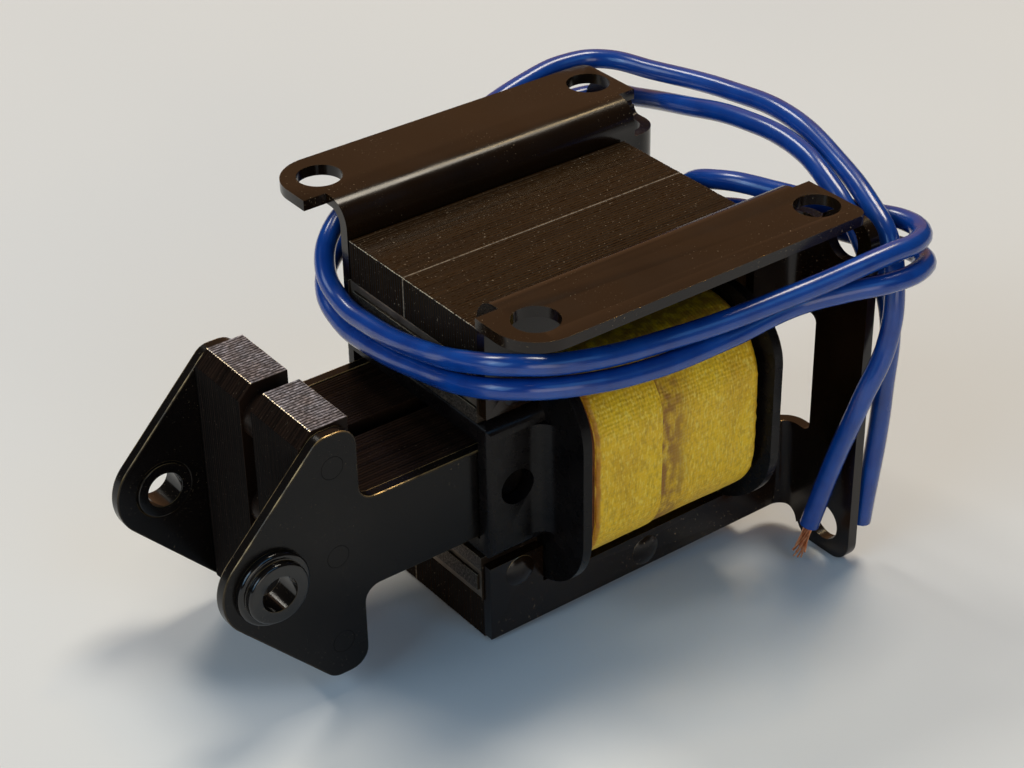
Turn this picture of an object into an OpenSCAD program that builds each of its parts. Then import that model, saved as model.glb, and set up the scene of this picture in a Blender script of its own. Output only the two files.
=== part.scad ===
// Push pull solenoid: laminated field, T head plunger with clevis ears, two bent side brackets.
// X runs along the plunger, from its clevis ears (-X) to the rear mounting flanges (+X).
// Y runs across the lamination stack. The origin is the centre of the top mounting holes.

/* [Mounting] */
// Hole spacing of the top flanges, along the plunger
top_hole_dx = 44.4; // [40:0.1:50]
// Hole spacing of the top flanges, across the stack
top_hole_dy = 46.0; // [44:0.1:49]
// Hole spacing of the rear flanges, across the stack
rear_hole_dy = 47.4; // [46:0.1:49]
// Hole spacing of the rear flanges, up and down
rear_hole_dz = 44.2; // [40:0.1:46]
// Drop from the top face to the upper rear holes
rear_hole_drop = 6.1; // [5.5:0.1:8]
// Diameter of the eight mounting holes
mount_hole_d = 6.1; // [4:0.1:6.6]

/* [Laminated field] */
// Length of the lamination stack along the plunger
stack_l = 45.2; // [40:0.1:56]
// Height of the lamination stack
stack_h = 46.8; // [42:0.1:58]
// Thickness of the whole stack, across
stack_w = 27.8; // [22:0.1:32]
// Drop from the top face of the flanges to the top of the stack
stack_drop = 4.9; // [4.2:0.1:6]
// Distance from the upper face of the stack to the plunger axis
axis_drop = 23.7; // [21:0.1:30]
// Thickness of the upper bar of a lamination
upper_bar = 5.8; // [4:0.1:8]
// Thickness of the lower bar of a lamination
lower_bar = 6.0; // [4:0.1:8]
// Thickness of the rear spine of a lamination
spine = 5.0; // [4:0.1:8]
// Length of the front pole blocks along the plunger
pole_l = 9.0; // [7:0.1:12]
// Where the two half stacks meet, off the middle
split_y = 1.65; // [-3:0.05:3]

/* [Brackets] */
// Thickness of the bracket sheet
sheet = 1.5; // [1:0.1:2]
// Inner radius of the bracket bends
bend_r = 2.1; // [1.2:0.1:3]
// Width over both top flanges
top_flange_w = 56.8; // [56:0.1:62]
// Reach of the top flanges in front of the stack
flange_reach = 3.4; // [2:0.1:6]
// Distance between the rear face of the stack and the rear flanges
rear_gap = 5.5; // [4:0.1:9]
// Width over both rear flanges
rear_flange_w = 57.6; // [56:0.1:62]
// Reach of the lower ears below the lowest rear hole
ear_reach = 4.7; // [4:0.1:7]

/* [Plunger] */
// Height of the plunger stem
stem_h = 13.1; // [10:0.1:18]
// Drop of the plunger below the middle of its tube, where its weight lays it
plunger_drop = 0.6; // [0:0.05:1]
// Width of the plunger over both ear plates
plunger_w = 27.0; // [20:0.1:30]
// Thickness of each ear plate
ear_plate_t = 1.6; // [1:0.1:2.5]
// Gap between the two plunger packs
pack_gap = 2.4; // [1:0.1:4]
// Height of the T head
head_h = 36.0; // [30:0.1:40]
// Thickness of the T head along the plunger
head_l = 7.1; // [5:0.1:9]
// Open gap between the T head and the pole faces as drawn
open_gap = 17.2; // [15:0.1:20]
// Distance from the rear face of the T head to the clevis hole
ear_hole_reach = 13.0; // [11:0.1:18]
// Diameter of the clevis hole in the ear bushings
clevis_hole_d = 4.8; // [4:0.1:6.4]
// Outer diameter of the ear bushings, at the plate
bushing_d = 10.0; // [9:0.1:12]
// Reach of the ear bushings outside the ear plates
bushing_reach = 2.0; // [1:0.1:3]

/* [Coil] */
// Sliding clearance of the stem in the bobbin, each side
slide_gap = 0.25; // [0.15:0.05:0.5]
// Wall of the bobbin tube
bobbin_wall = 1.6; // [1:0.1:2.5]
// Thickness of the bobbin flanges
bobbin_flange_t = 1.4; // [1:0.1:2]
// Width of the finished coil, across the stack
coil_w = 44.8; // [40:0.1:50]
// Height of the finished coil
coil_h = 29.4; // [27:0.1:33]
// Corner radius of the coil
coil_r = 9.6; // [6:0.1:12]
// Thickness of the outer tape wrap
wrap_t = 0.5; // [0.3:0.1:1]

/* [Leads] */
// Outer diameter of the lead insulation
lead_d = 2.75; // [2:0.05:3.2]
// Diameter of the stranded copper in a lead
strand_d = 1.3; // [0.8:0.1:1.6]

/* [Hidden] */
$fn = 48;
eps = 0.01;

// Stack and field
stack_front = -24.2;
stack_rear = stack_front + stack_l;
stack_top = -stack_drop;
stack_bottom = stack_top - stack_h;
axis_z = stack_top - axis_drop;
window_top = stack_top - upper_bar;
window_bottom = stack_bottom + lower_bar;
window_rear = stack_rear - spine;
pole_face = stack_front - 0.3;
pole_rear = pole_face + pole_l;

// Bobbin
flange_bar_gap = 0.3;
tube_y = plunger_w / 2 + slide_gap;
tube_z = stem_h / 2 + slide_gap + plunger_drop;
core_y = tube_y + bobbin_wall;
core_z = tube_z + bobbin_wall;
collar_y = tube_y + 2.1;
collar_z = tube_z + 2.8;
collar_r = 2;
collar_fillet_r = 2.6;
collar_edge_r = 1.2;
collar_front = pole_face + 0.1;
flange_front = pole_rear;
flange_y = coil_w / 2 + 1.1;
flange_z = min(window_top - axis_z, axis_z - window_bottom) - flange_bar_gap;
flange_r = 10;
flange_flare = 1.6;
collar_hole_d = 5;

// Holes in the rear bobbin flange that let the leads out
lead_exit_y = 18;
lead_exit_z = [-26, -31];
lead_fit = 0.05;

// Coil
coil_front = flange_front + bobbin_flange_t;
coil_rear = window_rear - bobbin_flange_t;
wrap_front_gap = 1.6;

// Pole blocks, shading rings and the slots that hold them
pole_inner_gap = 0.1;
upper_pole_z = axis_z + collar_z + pole_inner_gap;
lower_pole_z = axis_z - collar_z - pole_inner_gap;
ring_t = 1.1;
ring_l = 2.0;
ring_side = 0.8;
ring_recess = 0.3;
ring_inset = 2.1;
slot_fit = 0.05;

// Brackets
bend_out = bend_r + sheet;
web_in = stack_w / 2;
web_out = web_in + sheet;
bend_y = web_in + bend_out;
top_bend_z = -bend_out;
rear_face = stack_rear + rear_gap;
rear_bend_x = rear_face - bend_r;
tab_rear = pole_rear - 0.2;
tab_fit = 1.2;
arm_x = window_rear + bobbin_flange_t + flange_flare + 0.2;
web_bottom = stack_bottom + 0.4;
flange_front_x = pole_face - flange_reach + 0.3;
flange_rear_x = rear_face - 0.5;
notch_y = bend_y + 0.9;
flange_corner_r = 6;
rear_corner_r = 1.6;
post_top = -2.2;
post_in = 19.9;
post_corner_r = 3.2;
ear_in = 18.5;
arch_r = 2.2;
inner_corner_r = 1.2;
ear_bottom = -rear_hole_drop - rear_hole_dz - ear_reach;
arm_top = -5;
upper_arm_bottom = axis_z + 9.4;
lower_arm_top = axis_z - 8.9;

// Rivets
rivet_d = 3.2;
rivet_fit = 0.05;
rivet_head_d = 4.6;
rivet_head_h = 0.65;
rivet_head_r = 4.4;
pole_rivet_x = pole_face + pole_l * 0.56;
bar_rivet_x = stack_front + stack_l * 0.57;
frame_rivet_spots = [[bar_rivet_x, (stack_top + window_top) / 2],
    [bar_rivet_x, (stack_bottom + window_bottom) / 2]];
upper_pole_rivet = [pole_rivet_x, (window_top + axis_z + collar_z) / 2];
lower_pole_rivet = [pole_rivet_x, (window_bottom + axis_z - collar_z) / 2];

// Plunger
plunger_z = axis_z - plunger_drop;
head_rear = pole_face - open_gap;
head_front = head_rear - head_l;
stem_end = head_rear + (window_rear - pole_face) - 0.3;
plate_in = plunger_w / 2 - ear_plate_t;
head_chamfer = 1.9;
ear_x = head_rear - ear_hole_reach;
ear_r = 6.6;
ear_top_drop = 0.4;
lobe_r = 2.6;
stem_fillet_r = 2.2;
bushing_shank_d = bushing_d - 2.4;
bushing_lip_d = bushing_d - 1.7;
bushing_seat = 0.3;
plunger_rivet_d = 3;
spacer_d = 6.5;

// ---- shared outlines ----

// Rectangle from (x0, y0) to (x1, y1) with round corners
module rounded(x0, y0, x1, y1, r) {
    translate([x0 + r, y0]) square([x1 - x0 - 2 * r, y1 - y0]);
    translate([x0, y0 + r]) square([x1 - x0, y1 - y0 - 2 * r]);
    for (x = [x0 + r, x1 - r]) for (y = [y0 + r, y1 - r]) translate([x, y]) circle(r);
}

// Rectangle from (x0, y0) to (x1, y1)
module rect(x0, y0, x1, y1) { translate([x0, y0]) square([x1 - x0, y1 - y0]); }

// Filling of an inner corner at (x, y) that opens towards sx and sy, with a round of radius r
module cove(x, y, r, sx, sy) {
    difference() {
        rect(x + min(0, sx) * r - max(0, sx) * eps, y + min(0, sy) * r - max(0, sy) * eps,
            x + max(0, sx) * r - min(0, sx) * eps, y + max(0, sy) * r - min(0, sy) * eps);
        translate([x + sx * r, y + sy * r]) circle(r);
    }
}

function unit(v) = v / norm(v);

// Points that round the corner at p to radius r, on a path that comes from a and goes to b
function round_corner(a, p, b, r, n = 6) =
    let (u = unit(a - p), v = unit(b - p), half = acos(u * v) / 2,
         centre = p + r / sin(half) * unit(u + v),
         from = p + r / tan(half) * u - centre,
         to = p + r / tan(half) * v - centre,
         start = atan2(from[1], from[0]),
         turn = atan2(from[0] * to[1] - from[1] * to[0], from * to))
      [for (i = [0 : n]) centre + r * [cos(start + turn * i / n), sin(start + turn * i / n)]];

// Outline drawn in X and Z, made solid from y0 to y1
module across(y0, y1) {
    translate([0, y1, 0]) rotate([90, 0, 0]) linear_extrude(y1 - y0) children();
}

// Outline drawn in Y and Z, made solid from x0 to x1
module along(x0, x1) {
    translate([x0, 0, 0]) rotate([90, 0, 90]) linear_extrude(x1 - x0) children();
}

// Outline drawn in X and Y, made solid from z0 to z1
module upward(z0, z1) { translate([0, 0, z0]) linear_extrude(z1 - z0) children(); }

// Round bar along Y
module bar_y(x, z, d, y0, y1) {
    translate([x, y1, z]) rotate([90, 0, 0]) cylinder(h = y1 - y0, d = d);
}

// Round bar along X
module bar_x(y, z, d, x0, x1) {
    translate([x0, y, z]) rotate([0, 90, 0]) cylinder(h = x1 - x0, d = d);
}

// ---- laminated field ----

module field_pack(y0, y1) {
    difference() {
        across(y0, y1) difference() {
            rect(stack_front, stack_bottom, stack_rear, stack_top);
            rect(stack_front - 1, window_bottom, window_rear, window_top);
        }
        for (s = frame_rivet_spots) bar_y(s[0], s[1], rivet_d + 2 * rivet_fit, y0 - 1, y1 + 1);
    }
}

module field_pack_near() { color("#2a2521") field_pack(-stack_w / 2, split_y); }
module field_pack_far() { color("#332c26") field_pack(split_y, stack_w / 2); }

// Slot for a shading ring, which frames the part of the pole face next to the bar
module ring_outline(z_bar, z_inner, grow) {
    w = stack_w / 2 - 0.1;
    lo = min(z_bar, z_inner);
    hi = max(z_bar, z_inner);
    difference() {
        rect(-w - grow, lo - grow, w + grow, hi + grow);
        rect(-w + ring_side + grow, lo + ring_t + grow, w - ring_side - grow, hi - ring_t - grow);
    }
}

module pole_block(z0, z1, rivet, z_bar, z_inner) {
    difference() {
        across(-stack_w / 2, stack_w / 2) rect(pole_face, z0, pole_rear, z1);
        along(pole_face - 1, pole_face + ring_recess + ring_l + slot_fit)
            ring_outline(z_bar, z_inner, slot_fit);
        bar_y(rivet[0], rivet[1], rivet_d + 2 * rivet_fit, -stack_w, stack_w);
    }
}

module shading_ring(z_bar, z_inner) {
    along(pole_face + ring_recess, pole_face + ring_recess + ring_l) ring_outline(z_bar, z_inner, 0);
}

module pole_block_upper() {
    color("#4a4238") pole_block(upper_pole_z, window_top, upper_pole_rivet,
        window_top - slot_fit, upper_pole_z + ring_inset);
}
module pole_block_lower() {
    color("#4a4238") pole_block(window_bottom, lower_pole_z, lower_pole_rivet,
        window_bottom + slot_fit, lower_pole_z - ring_inset);
}
module shading_ring_upper() {
    color("#6b4a30") shading_ring(window_top - slot_fit, upper_pole_z + ring_inset);
}
module shading_ring_lower() {
    color("#6b4a30") shading_ring(window_bottom + slot_fit, lower_pole_z - ring_inset);
}

// ---- side brackets, drawn for the near side ----

module bracket_web() {
    rect(stack_front, window_top, rear_bend_x - 1.2, 1);
    rect(stack_front, web_bottom, rear_bend_x, window_bottom);
    rect(stack_front, axis_z + collar_z + tab_fit, tab_rear, window_top + eps);
    rect(stack_front, window_bottom - eps, tab_rear, axis_z - collar_z - tab_fit);
    rect(arm_x, upper_arm_bottom, rear_bend_x, arm_top);
    rect(arm_x, web_bottom, rear_bend_x, lower_arm_top);
}

// Section of web, bend and top flange, in Y and Z
module top_bend_section() {
    rect(-web_out, web_bottom - 1, -web_in, top_bend_z);
    intersection() {
        translate([-bend_y, top_bend_z]) difference() {
            circle(bend_out);
            circle(bend_r);
        }
        rect(-bend_y, top_bend_z, -web_in + 1, 1);
    }
}

module top_flange_outline() {
    difference() {
        union() {
            rounded(flange_front_x, -top_flange_w / 2, 0, -notch_y + 10, flange_corner_r);
            rounded(-2 * flange_corner_r, -top_flange_w / 2, flange_rear_x, -notch_y + 10, rear_corner_r);
        }
        rect(flange_front_x - 1, -notch_y, stack_front, 0);
        rect(flange_front_x - 1, -bend_y, flange_rear_x + 1, 0);
        for (s = [-1, 1]) translate([s * top_hole_dx / 2, -top_hole_dy / 2]) circle(d = mount_hole_d);
    }
}

// Section of web, bend and rear flange, in X and Y
module rear_bend_section() {
    intersection() {
        translate([rear_bend_x, -bend_y]) difference() {
            circle(bend_out);
            circle(bend_r);
        }
        rect(rear_bend_x, -bend_y, rear_face + sheet + 1, 0);
    }
    rect(rear_face, -rear_flange_w / 2, rear_face + sheet, -bend_y);
}

// Rear flange seen from behind, in Y and Z
module rear_flange_outline() {
    difference() {
        union() {
            rounded(-rear_flange_w / 2, ear_bottom, -post_in, post_top, post_corner_r);
            rounded(-rear_flange_w / 2, ear_bottom, -ear_in, lower_arm_top, post_corner_r);
            rect(-post_in - post_corner_r, upper_arm_bottom, -web_in + 1, arm_top);
            rect(-post_in - post_corner_r, web_bottom, -web_in + 1, lower_arm_top);
            cove(-ear_in, web_bottom, arch_r, 1, -1);
            cove(-post_in, arm_top, inner_corner_r, 1, 1);
            cove(-post_in, upper_arm_bottom, inner_corner_r, 1, -1);
            cove(-post_in, lower_arm_top, inner_corner_r, 1, 1);
        }
        for (z = [-rear_hole_drop, -rear_hole_drop - rear_hole_dz])
            translate([-rear_hole_dy / 2, z]) circle(d = mount_hole_d - 0.6);
    }
}

module side_bracket() {
    difference() {
        union() {
            intersection() {
                along(stack_front, rear_bend_x) top_bend_section();
                across(-bend_y, -web_in) bracket_web();
            }
            upward(-sheet, 0) top_flange_outline();
            intersection() {
                upward(ear_bottom - 1, 0) rear_bend_section();
                along(rear_bend_x, rear_face + sheet) rear_flange_outline();
            }
        }
        for (s = concat(frame_rivet_spots, [upper_pole_rivet, lower_pole_rivet]))
            bar_y(s[0], s[1], rivet_d + 2 * rivet_fit, -web_out - 1, -web_in + 1);
    }
}

module side_bracket_near() { color("#1d1a18") side_bracket(); }
module side_bracket_far() { color("#1d1a18") mirror([0, 1, 0]) side_bracket(); }

// ---- rivets of the field ----

// Round head on the outer face of a bracket
module rivet_head() {
    rotate([90, 0, 0]) rotate_extrude() intersection() {
        translate([0, rivet_head_h - rivet_head_r]) circle(rivet_head_r);
        rect(0, 0, rivet_head_d / 2, rivet_head_h + 1);
    }
}

module through_rivet(s) {
    bar_y(s[0], s[1], rivet_d, -web_out, web_out);
    translate([s[0], -web_out, s[1]]) rivet_head();
    translate([s[0], web_out, s[1]]) rotate([0, 0, 180]) rivet_head();
}

module frame_rivets() { color("#24211f") for (s = frame_rivet_spots) through_rivet(s); }
module pole_rivets() {
    color("#24211f") for (s = [upper_pole_rivet, lower_pole_rivet]) through_rivet(s);
}

// ---- bobbin and coil ----

// Flange outline in Y and Z
module flange_outline(half_y, half_z, r) { rounded(-half_y, axis_z - half_z, half_y, axis_z + half_z, r); }

// Flange section in X and Y, straight between the field and leaning out by flare beyond it
module flange_section(x, flare) {
    t = bobbin_flange_t;
    y1 = max(web_out, core_y);
    y2 = flange_y + 1;
    polygon([[x, -y1], [x, y1], [x + flare, y2], [x + flare + t, y2], [x + t, y1],
        [x + t, -y1], [x + flare + t, -y2], [x + flare, -y2]]);
}

module bobbin_flange(x, flare) {
    intersection() {
        upward(axis_z - flange_z - 1, axis_z + flange_z + 1) flange_section(x, flare);
        along(x - 5, x + 5) flange_outline(flange_y, flange_z, flange_r);
    }
}

// Quarter round between the collar's side and the front flange
module collar_fillet() {
    flat = collar_z - collar_r;
    for (s = [-1, 1])
        upward(axis_z - flat, axis_z + flat) cove(flange_front, s * collar_y, collar_fillet_r, -1, s);
}

module bobbin() {
    color("#161415") difference() {
        union() {
            intersection() {
                along(collar_front, flange_front + eps)
                    flange_outline(collar_y, collar_z, collar_r);
                across(-collar_y, collar_y) rounded(collar_front, axis_z - collar_z,
                    flange_front + 5, axis_z + collar_z, collar_edge_r);
                upward(axis_z - collar_z, axis_z + collar_z)
                    rounded(collar_front, -collar_y, flange_front + 5, collar_y, collar_edge_r);
            }
            collar_fillet();
            along(flange_front, window_rear - 0.1) flange_outline(core_y, core_z, 1);
            bobbin_flange(flange_front, 0);
            bobbin_flange(coil_rear, flange_flare);
        }
        along(collar_front - 1, window_rear + 1)
            rect(-tube_y, axis_z - tube_z, tube_y, axis_z + tube_z);
        bar_y((collar_front + flange_front) / 2, axis_z, collar_hole_d, -collar_y - 1, collar_y + 1);
        for (z = lead_exit_z) bar_x(lead_exit_y, z, lead_d + 2 * lead_fit, coil_rear - 1, coil_rear + 5);
    }
}

module coil_winding() {
    color("#b06a3a") along(coil_front, coil_rear) difference() {
        flange_outline(coil_w / 2 - wrap_t, coil_h / 2 - wrap_t, coil_r - wrap_t);
        flange_outline(core_y, core_z, 1);
    }
}

module coil_wrap() {
    color("#e0bd2c") along(coil_front + wrap_front_gap, coil_rear) difference() {
        flange_outline(coil_w / 2, coil_h / 2, coil_r);
        flange_outline(coil_w / 2 - wrap_t, coil_h / 2 - wrap_t, coil_r - wrap_t);
    }
}

// ---- plunger ----

plunger_rivet_spots = [[head_rear - head_l / 2, plunger_z + head_h * 0.36],
    [head_rear - head_l / 2, plunger_z - head_h * 0.36], [head_rear - head_l / 2, plunger_z],
    [head_rear + (stem_end - head_rear) * 0.5, plunger_z], [stem_end - 4, plunger_z]];

// T outline of the laminations, in X and Z, with the front edges of the head cut back
module head_outline() {
    h = head_h / 2;
    half_stem = stem_h / 2;
    c = head_chamfer;
    translate([0, plunger_z]) polygon([[stem_end, half_stem], [head_rear, half_stem], [head_rear, h],
        [head_front + c, h], [head_front, h - c], [head_front, c - h], [head_front + c, -h],
        [head_rear, -h], [head_rear, -half_stem], [stem_end, -half_stem]]);
}

module plunger_pack(y0, y1) {
    difference() {
        across(y0, y1) head_outline();
        for (s = plunger_rivet_spots)
            bar_y(s[0], s[1], plunger_rivet_d + 2 * rivet_fit, y0 - 1, y1 + 1);
    }
}

module plunger_pack_near() { color("#3a342f") plunger_pack(-plate_in, -pack_gap / 2); }
module plunger_pack_far() { color("#3a342f") plunger_pack(pack_gap / 2, plate_in); }

// Ear plate outline: the T, with the head drawn out to a round ear at the clevis hole
module ear_outline() {
    top = head_h / 2 - ear_top_drop;
    low = -head_h / 2;
    half_stem = stem_h / 2;
    front = head_front + head_chamfer - ear_x;
    rear = head_rear - ear_x;
    end = stem_end - ear_x;
    // Angles at which the slanted edges touch the ear's circle
    up = atan2(top, front) + acos(ear_r / norm([front, top]));
    down = atan2(low, front) - acos(ear_r / norm([front, low])) + 360;
    ear = [for (i = [0 : 24]) let (t = up + (down - up) * i / 24) ear_r * [cos(t), sin(t)]];
    // Corners from the lower slant round to the upper one, each with its radius
    corners = [ear[24], [front, low], [rear, low], [rear, -half_stem], [end, -half_stem],
        [end, half_stem], [rear, half_stem], [rear, top], [front, top], ear[0]];
    radii = [0, lobe_r, lobe_r, stem_fillet_r, 1, 1, stem_fillet_r, lobe_r, lobe_r, 0];
    outline = [for (i = [1 : len(corners) - 2])
        each round_corner(corners[i - 1], corners[i], corners[i + 1], radii[i])];
    translate([ear_x, plunger_z]) polygon(concat(ear, outline));
}

module ear_plate(y0, y1) {
    difference() {
        across(y0, y1) ear_outline();
        bar_y(ear_x, plunger_z, bushing_shank_d + 2 * rivet_fit, y0 - 1, y1 + 1);
        for (s = plunger_rivet_spots)
            bar_y(s[0], s[1], plunger_rivet_d + 2 * rivet_fit, y0 - 1, y1 + 1);
    }
}

module ear_plate_near() { color("#1f1c1a") ear_plate(-plunger_w / 2, -plate_in); }
module ear_plate_far() { color("#1f1c1a") ear_plate(plate_in, plunger_w / 2); }

// Shouldered bushing: its round collar lies on the outer face of the ear, with a lower lip round the hole
module ear_bushing() {
    shank = ear_plate_t + bushing_seat;
    translate([ear_x, -plate_in + bushing_seat, plunger_z]) rotate([90, 0, 0]) difference() {
        union() {
            cylinder(h = shank, d = bushing_shank_d);
            translate([0, 0, shank]) rotate_extrude() {
                collar_profile(bushing_d / 2, bushing_reach * 0.5, bushing_reach * 0.25);
                collar_profile(bushing_lip_d / 2, bushing_reach, bushing_reach * 0.2);
            }
        }
        translate([0, 0, -1]) cylinder(h = shank + bushing_reach + 2, d = clevis_hole_d);
    }
}

// Profile of a disc of radius r and height h with its upper edge rounded to edge_r
module collar_profile(r, h, edge_r) {
    rect(0, 0, r, h - edge_r);
    rect(0, 0, r - edge_r, h);
    translate([r - edge_r, h - edge_r]) circle(edge_r);
}

module ear_bushing_near() { color("#26221f") ear_bushing(); }
module ear_bushing_far() { color("#26221f") mirror([0, 1, 0]) ear_bushing(); }

module plunger_rivets() {
    color("#2b2724") for (s = plunger_rivet_spots)
        bar_y(s[0], s[1], plunger_rivet_d, -plunger_w / 2, plunger_w / 2);
}

module pack_spacers() {
    color("#8c7440") for (s = plunger_rivet_spots) difference() {
        bar_y(s[0], s[1], spacer_d, -pack_gap / 2, pack_gap / 2);
        bar_y(s[0], s[1], plunger_rivet_d + 2 * rivet_fit, -pack_gap, pack_gap);
    }
}

// ---- leads ----

// Points of the two leads' centre lines, from the coil to the cut end
lead_a_route = [[14.6, 18, -26], [18.6, 18, -26], [22.2, 16.8, -25.4], [24, 12.4, -21.8], [24, 7.4, -14.6],
    [23.8, 3.4, -8.2], [24.4, -2.6, -5.4], [27.8, -11, -5], [31.6, -16.4, -5.9], [34, -21.8, -5.6],
    [35.2, -26, -5.2], [34.2, -29.8, -4.8], [30.8, -32.2, -4.3], [26, -32.4, -4.1], [13.2, -30, -6.1],
    [-4, -26.2, -8], [-18, -23.8, -7.2], [-23.6, -20.8, -6.8], [-26.2, -16, -7.8], [-26.4, -7, -10.8],
    [-26.3, 6.6, -13.2], [-26.2, 13.2, -12.8], [-25.4, 17.8, -10.4], [-22, 21.2, -7.4], [-13, 24.6, -5.6],
    [2, 28.4, -4], [17, 30.3, -0.9], [23.6, 30.4, -0.2], [28.8, 28.5, -0.2], [32.4, 20.8, -0.3],
    [35.2, 8, 0.5], [35.4, -4, 1], [34, -15, -1.2], [32, -23, -3.3], [30.6, -27.8, -5.6],
    [29.8, -30.2, -11], [28.2, -31.2, -18.6], [25.2, -30.5, -26.2], [24.4, -26.6, -39], [22.6, -25, -48.4]];
lead_b_route = [[14.6, 18, -31], [19, 18, -31], [22.4, 15.8, -29.8], [23.8, 11, -25], [23.8, 4.6, -16],
    [24, -1.6, -10], [27.4, -10.8, -8.4], [30.4, -18, -8.2], [33, -23.4, -8.6], [34.8, -27.2, -8.8],
    [34.2, -30.8, -8.4], [31, -33.2, -7.8], [26.4, -33.6, -7.6], [20, -31.2, -8], [14.4, -28.6, -9],
    [4, -27.2, -10.6], [-8, -26.2, -11], [-18, -24, -10.4], [-23.6, -20.8, -10.2], [-26.2, -16, -11.2],
    [-26.4, -6, -14], [-26.3, 7, -16.2], [-26.2, 13.6, -15.9], [-25.2, 18.4, -14], [-21.6, 22.2, -12],
    [-12, 25.6, -10.4], [4, 29.4, -9], [18, 31.8, -7.6], [26, 31.7, -6.8], [30.6, 29.2, -6.3],
    [31.9, 24, -5.4], [31.6, 14, -2.8], [32, 2, -0.5], [31.9, -9.2, -0.4], [30.6, -16.6, -2.2],
    [29.8, -21.6, -4.8], [30, -25, -9.2], [31.2, -27.9, -15], [30.6, -29, -28.4], [29.8, -27.7, -49.4]];
strand_l = 6;

// Direction of the route at point i
function heading(p, i) = unit(p[min(i + 1, len(p) - 1)] - p[max(i - 1, 0)]);
// Side vector carried along the route, so that the rings don't twist
function sides(p, i = 0, acc = []) =
    i == len(p) ? acc
    : let (t = heading(p, i),
           from = i == 0 ? (abs(t[2]) < 0.9 ? [0, 0, 1] : [1, 0, 0]) : acc[i - 1],
           flat = unit(from - (from * t) * t))
      sides(p, i + 1, concat(acc, [flat]));

// Tube of n sides swept along the route's own points
module swept_tube(p, d, n = 8) {
    u = sides(p);
    rings = [for (i = [0 : len(p) - 1]) let (t = heading(p, i), v = cross(t, u[i]))
        for (k = [0 : n - 1]) p[i] + d / 2 * (cos(360 * k / n) * u[i] + sin(360 * k / n) * v)];
    last = (len(p) - 1) * n;
    walls = [for (i = [0 : len(p) - 2]) for (k = [0 : n - 1])
        [i * n + k, i * n + (k + 1) % n, (i + 1) * n + (k + 1) % n, (i + 1) * n + k]];
    polyhedron(rings, concat(walls, [[for (k = [n - 1 : -1 : 0]) k]], [[for (k = [0 : n - 1]) last + k]]));
}

// Bare stranded end beyond the cut insulation
module bare_end(p) {
    tip = p[len(p) - 1];
    t = heading(p, len(p) - 1);
    swept_tube([tip, tip + t * strand_l * 0.5, tip + t * strand_l], strand_d);
}

module lead_wire_a() { color("#1b55b5") swept_tube(lead_a_route, lead_d); }
module lead_wire_b() { color("#1b55b5") swept_tube(lead_b_route, lead_d); }
module lead_strands() { color("#c4673a") bare_end(lead_a_route); }

field_pack_near();
field_pack_far();
pole_block_upper();
pole_block_lower();
shading_ring_upper();
shading_ring_lower();
side_bracket_near();
side_bracket_far();
frame_rivets();
pole_rivets();
bobbin();
coil_winding();
coil_wrap();
plunger_pack_near();
plunger_pack_far();
pack_spacers();
ear_plate_near();
ear_plate_far();
ear_bushing_near();
ear_bushing_far();
plunger_rivets();
lead_wire_a();
lead_wire_b();
lead_strands();
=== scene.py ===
import math
import random

import bmesh
import bpy
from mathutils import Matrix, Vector


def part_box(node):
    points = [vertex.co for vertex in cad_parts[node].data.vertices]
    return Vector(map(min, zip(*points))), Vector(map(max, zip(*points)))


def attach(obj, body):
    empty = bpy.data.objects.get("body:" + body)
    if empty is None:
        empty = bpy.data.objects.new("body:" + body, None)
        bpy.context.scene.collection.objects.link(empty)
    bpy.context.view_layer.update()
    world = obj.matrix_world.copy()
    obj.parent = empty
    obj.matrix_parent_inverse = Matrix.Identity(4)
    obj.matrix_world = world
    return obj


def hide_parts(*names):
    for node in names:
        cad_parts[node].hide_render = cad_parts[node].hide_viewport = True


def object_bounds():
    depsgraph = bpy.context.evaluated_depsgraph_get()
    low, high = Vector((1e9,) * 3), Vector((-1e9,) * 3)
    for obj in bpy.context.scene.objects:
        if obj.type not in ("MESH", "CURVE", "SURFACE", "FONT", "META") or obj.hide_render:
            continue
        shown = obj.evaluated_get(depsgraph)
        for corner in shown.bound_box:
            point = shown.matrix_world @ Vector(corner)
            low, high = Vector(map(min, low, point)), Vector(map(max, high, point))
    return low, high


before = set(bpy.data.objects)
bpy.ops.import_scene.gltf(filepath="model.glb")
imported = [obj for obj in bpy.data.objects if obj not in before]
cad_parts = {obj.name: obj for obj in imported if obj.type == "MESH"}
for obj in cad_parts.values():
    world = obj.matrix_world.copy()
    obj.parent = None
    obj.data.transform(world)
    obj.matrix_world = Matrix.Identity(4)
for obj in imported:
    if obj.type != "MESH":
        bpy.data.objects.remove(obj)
cad_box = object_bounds()
bpy.context.scene.view_settings.view_transform = "Standard"
MM = 0.001


# ---- View ----
# A long lens looks down on the plunger end and the near side of the coil.
# It stands 0.3 m from the part, tipped a little to one side.
VIEW_PLACE = (-0.159834, -0.204538, 0.137094)
VIEW_TURN = (57.3514, 0.8799, -37.0003)  # degrees about X, Y and Z
view_data = bpy.data.cameras.new("view")
view_data.sensor_width = 36
view_data.lens = 80.757
view_data.clip_start = 0.01
view_camera = bpy.data.objects.new("view", view_data)
view_camera.location = VIEW_PLACE
view_camera.rotation_euler = [math.radians(a) for a in VIEW_TURN]
bpy.context.scene.collection.objects.link(view_camera)
bpy.context.scene.camera = view_camera


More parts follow.
